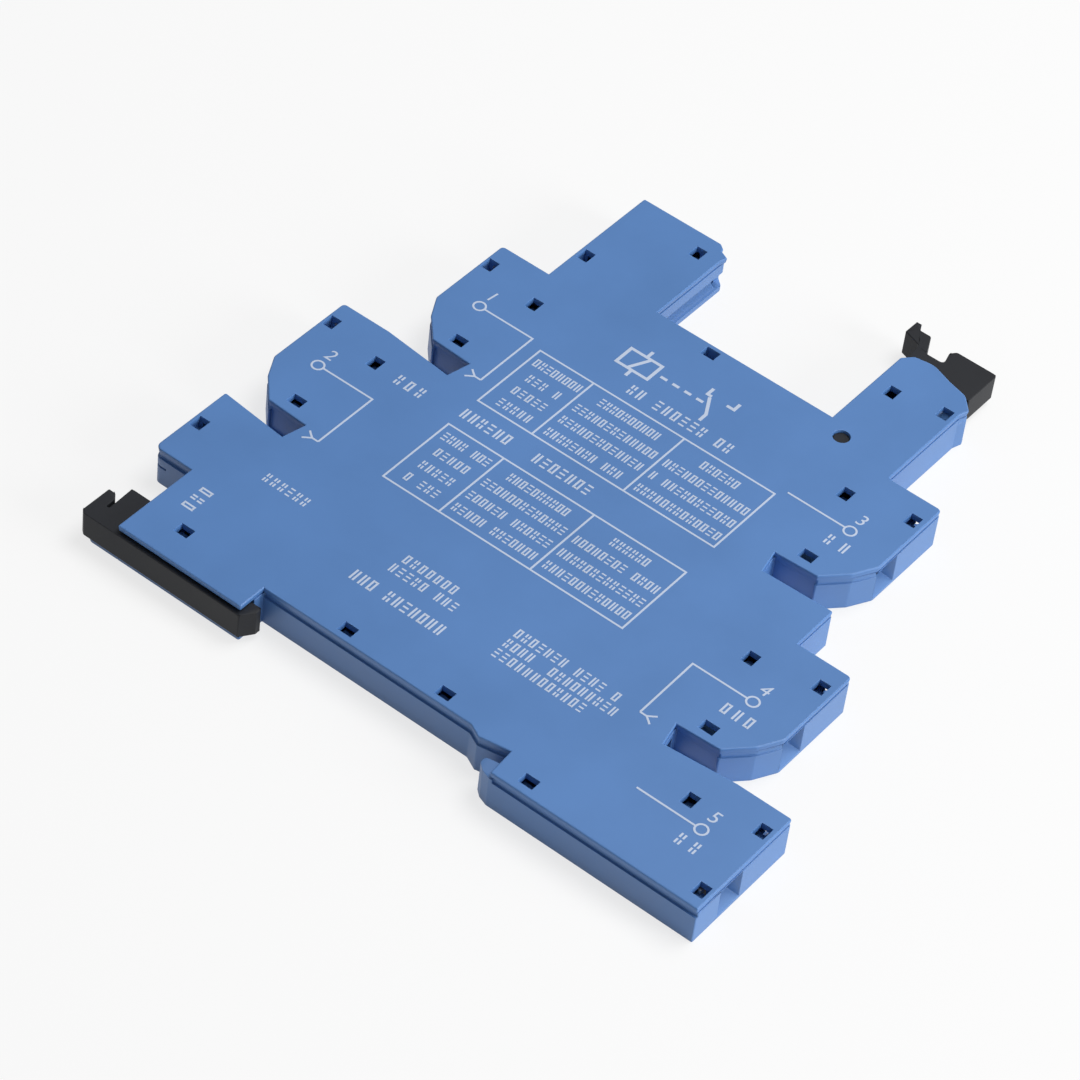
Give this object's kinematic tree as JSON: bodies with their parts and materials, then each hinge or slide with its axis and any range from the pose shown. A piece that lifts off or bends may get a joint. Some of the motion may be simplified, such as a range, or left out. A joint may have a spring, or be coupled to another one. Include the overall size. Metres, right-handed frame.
{
  "type": "relay socket",
  "caption": "Slim blue plug-in relay socket for a 35 mm rail, with stepped screw terminals, a black release lever, a sliding rail clip and a status light.",
  "frame": {"origin": "middle of the 35 mm rail, on the line where it seats, at the socket's flat back face", "axes": "+X across the rail towards the contact terminals, +Y away from the rail towards the relay bay, +Z through the module's thickness towards the cover; the socket lies on its back face at z = 0"},
  "size_m": [0.0988, 0.1051, 0.0062],
  "materials": {
    "housing_plastic": "fine moulded satin",
    "cover_plastic": "fine moulded satin with white print",
    "black_plastic": "moulded satin",
    "screw_steel": "zinc plated",
    "cage_steel": "zinc plated",
    "contact_brass": "tinned copper alloy",
    "board_laminate": "solder mask",
    "led_resin": "clear tinted",
    "lens_plastic": "clear moulded",
    "resistor_coat": "lacquer",
    "diode_moulding": "moulded epoxy",
    "capacitor_ceramic": "ceramic"
  },
  "bodies": {
    "socket": {"housing": "housing_plastic", "cover": "cover_plastic", "bar_a1": "contact_brass", "bar_a2": "contact_brass", "bar_14": "contact_brass", "bar_11": "contact_brass", "bar_12": "contact_brass", "coil_contact_1": "contact_brass", "coil_contact_2": "contact_brass", "board": "board_laminate", "led": "led_resin", "led_lens": "lens_plastic", "resistor": "resistor_coat", "diode": "diode_moulding", "capacitor": "capacitor_ceramic"},
    "clip": {"din_clip": "black_plastic"},
    "lever": {"release_lever": "black_plastic"},
    "terminal_screw_a1": {"screw_a1": "screw_steel"},
    "terminal_screw_a2": {"screw_a2": "screw_steel"},
    "terminal_screw_14": {"screw_14": "screw_steel"},
    "terminal_screw_11": {"screw_11": "screw_steel"},
    "terminal_screw_12": {"screw_12": "screw_steel"},
    "clamp_a1": {"cage_a1": "cage_steel"},
    "clamp_a2": {"cage_a2": "cage_steel"},
    "clamp_14": {"cage_14": "cage_steel"},
    "clamp_11": {"cage_11": "cage_steel"},
    "clamp_12": {"cage_12": "cage_steel"}
  },
  "joints": [
    {"name": "clip_slide", "type": "slide", "parent": "socket", "child": "clip", "axis": [1, 0, 0], "range_m": [0, 0.0044]},
    {"name": "lever_swing", "type": "hinge", "parent": "socket", "child": "lever", "pos_m": [0.0152, 0.07425, 0.0031], "axis": [0, 0, -1], "range_deg": [0, 12]},
    {"name": "screw_a1_turn", "type": "hinge", "parent": "socket", "child": "terminal_screw_a1", "pos_m": [-0.03655, 0.068, 0.00305], "axis": [0, -1, 0], "range_deg": [0, 1800]},
    {"name": "screw_a2_turn", "type": "hinge", "parent": "socket", "child": "terminal_screw_a2", "pos_m": [-0.0447, 0.044, 0.00305], "axis": [0, -1, 0], "range_deg": [0, 1800]},
    {"name": "screw_14_turn", "type": "hinge", "parent": "socket", "child": "terminal_screw_14", "pos_m": [0.02865, 0.068, 0.00305], "axis": [0, -1, 0], "range_deg": [0, 1800]},
    {"name": "screw_11_turn", "type": "hinge", "parent": "socket", "child": "terminal_screw_11", "pos_m": [0.03725, 0.0356, 0.00305], "axis": [0, -1, 0], "range_deg": [0, 1800]},
    {"name": "screw_12_turn", "type": "hinge", "parent": "socket", "child": "terminal_screw_12", "pos_m": [0.04555, 0.0115, 0.00305], "axis": [0, -1, 0], "range_deg": [0, 1800]},
    {"name": "clamp_a1_slide", "type": "slide", "parent": "socket", "child": "clamp_a1", "axis": [0, 1, 0], "range_m": [0, 0.00225]},
    {"name": "clamp_a2_slide", "type": "slide", "parent": "socket", "child": "clamp_a2", "axis": [0, 1, 0], "range_m": [0, 0.00225]},
    {"name": "clamp_14_slide", "type": "slide", "parent": "socket", "child": "clamp_14", "axis": [0, 1, 0], "range_m": [0, 0.00225]},
    {"name": "clamp_11_slide", "type": "slide", "parent": "socket", "child": "clamp_11", "axis": [0, 1, 0], "range_m": [0, 0.00225]},
    {"name": "clamp_12_slide", "type": "slide", "parent": "socket", "child": "clamp_12", "axis": [0, 1, 0], "range_m": [0, 0.00225]}
  ],
  "couplings": [
    {"joint": "screw_a1_turn", "follows": "clamp_a1_slide", "rad_per_m": 13963},
    {"joint": "screw_a2_turn", "follows": "clamp_a2_slide", "rad_per_m": 13963},
    {"joint": "screw_14_turn", "follows": "clamp_14_slide", "rad_per_m": 13963},
    {"joint": "screw_11_turn", "follows": "clamp_11_slide", "rad_per_m": 13963},
    {"joint": "screw_12_turn", "follows": "clamp_12_slide", "rad_per_m": 13963}
  ]
}
